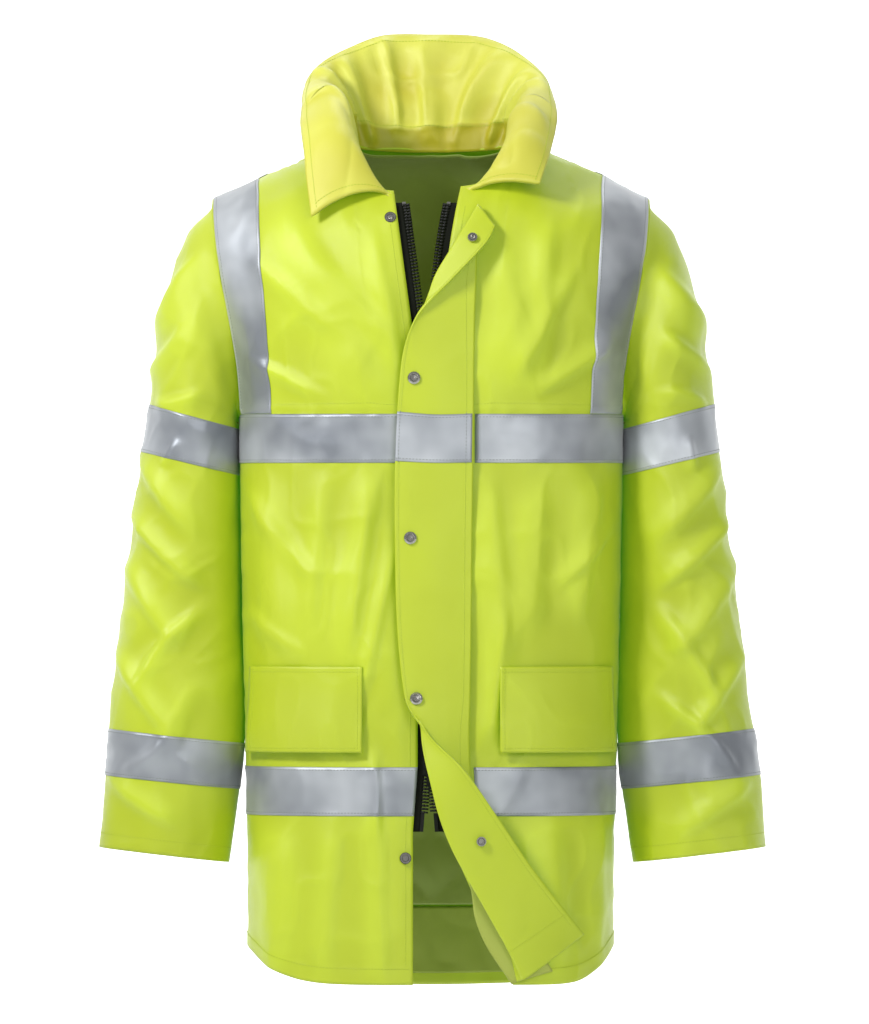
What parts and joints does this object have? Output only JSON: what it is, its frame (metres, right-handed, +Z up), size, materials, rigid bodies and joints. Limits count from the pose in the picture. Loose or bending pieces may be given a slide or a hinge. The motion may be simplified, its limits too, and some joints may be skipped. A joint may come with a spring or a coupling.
{
  "type": "high visibility jacket",
  "caption": "Hip-length high visibility traffic jacket with long sleeves, reflective tape, stand collar, zip under a studded storm flap, and flapped pockets",
  "frame": {"origin": "the middle of the neck opening at the height of the collar seam", "axes": "+Z up, the front faces -Y, the wearer's left is +X"},
  "size_m": [0.694, 0.2906, 0.99],
  "materials": {
    "shell": "fluorescent yellow woven polyester with a thin coating",
    "facing": "the inside of the fluorescent yellow shell fabric",
    "lining": "dark green quilted lining",
    "reflective": "grey retroreflective tape",
    "zip_tape": "black woven zip tape",
    "zip_plastic": "black moulded plastic",
    "metal": "nickel plated press stud"
  },
  "bodies": {
    "torso": {"front_panel_right": "shell", "front_panel_left": "shell", "back_panel": "shell", "collar_inner": "shell", "collar_outer": "shell", "storm_flap": "shell", "front_facing_right": "facing", "front_facing_left": "facing", "hem_facing_right": "facing", "hem_facing_left": "facing", "hem_facing_back": "facing", "pocket_bag_right": "facing", "pocket_bag_left": "facing", "stowed_hood": "facing", "lining_front_right": "lining", "lining_front_left": "lining", "lining_back": "lining", "chest_tape_front_right": "reflective", "chest_tape_front_left": "reflective", "chest_tape_back": "reflective", "chest_tape_flap": "reflective", "waist_tape_front_right": "reflective", "waist_tape_front_left": "reflective", "waist_tape_back": "reflective", "waist_tape_flap": "reflective", "brace_tape_right": "reflective", "brace_tape_left": "reflective", "zip_tape_right": "zip_tape", "zip_tape_left": "zip_tape", "zip_teeth_right": "zip_plastic", "zip_teeth_left": "zip_plastic", "zip_insertion_pin": "zip_plastic", "zip_retainer_box": "zip_plastic", "zip_top_stop_right": "metal", "zip_top_stop_left": "metal", "stud_cap_1": "metal", "stud_cap_2": "metal", "stud_cap_3": "metal", "stud_cap_4": "metal", "stud_cap_5": "metal", "stud_post_1": "metal", "stud_post_2": "metal", "stud_post_3": "metal", "stud_post_4": "metal", "stud_post_5": "metal"},
    "sleeve_right": {"sleeve_right": "shell", "sleeve_lining_right": "lining", "sleeve_tape_upper_right": "reflective", "sleeve_tape_lower_right": "reflective"},
    "sleeve_left": {"sleeve_left": "shell", "sleeve_lining_left": "lining", "sleeve_tape_upper_left": "reflective", "sleeve_tape_lower_left": "reflective"},
    "pocket_flap_right": {"pocket_flap_right": "shell"},
    "pocket_flap_left": {"pocket_flap_left": "shell"},
    "top_slider": {"zip_slider_top": "zip_plastic"},
    "top_pull": {"zip_pull_top": "zip_plastic"},
    "bottom_slider": {"zip_slider_bottom": "zip_plastic"},
    "bottom_pull": {"zip_pull_bottom": "zip_plastic"}
  },
  "joints": [
    {"name": "sleeve_right_swing", "type": "hinge", "parent": "torso", "child": "sleeve_right", "pos_m": [-0.229, 0, -0.05], "axis": [0, 1, 0], "range_deg": [0, 50]},
    {"name": "sleeve_left_swing", "type": "hinge", "parent": "torso", "child": "sleeve_left", "pos_m": [0.229, 0, -0.05], "axis": [0, -1, 0], "range_deg": [0, 50]},
    {"name": "pocket_flap_right_lift", "type": "hinge", "parent": "torso", "child": "pocket_flap_right", "pos_m": [-0.1464, -0.1131, -0.532], "axis": [-0.8704, 0.4924, 0], "range_deg": [0, 100]},
    {"name": "pocket_flap_left_lift", "type": "hinge", "parent": "torso", "child": "pocket_flap_left", "pos_m": [0.1464, -0.1131, -0.532], "axis": [-0.8704, -0.4924, 0], "range_deg": [0, 100]},
    {"name": "top_slider_travel", "type": "slide", "parent": "torso", "child": "top_slider", "axis": [0, 0, 1], "range_m": [-0.34, 0]},
    {"name": "top_pull_swing", "type": "hinge", "parent": "top_slider", "child": "top_pull", "pos_m": [-0.002, -0.1331, -0.232], "axis": [-1, 0, 0], "range_deg": [0, 8]},
    {"name": "bottom_slider_travel", "type": "slide", "parent": "torso", "child": "bottom_slider", "axis": [0, 0, 1], "range_m": [-0.035, 0]},
    {"name": "bottom_pull_swing", "type": "hinge", "parent": "bottom_slider", "child": "bottom_pull", "pos_m": [-0.002, -0.1331, -0.634], "axis": [-1, 0, 0], "range_deg": [0, 15]}
  ]
}
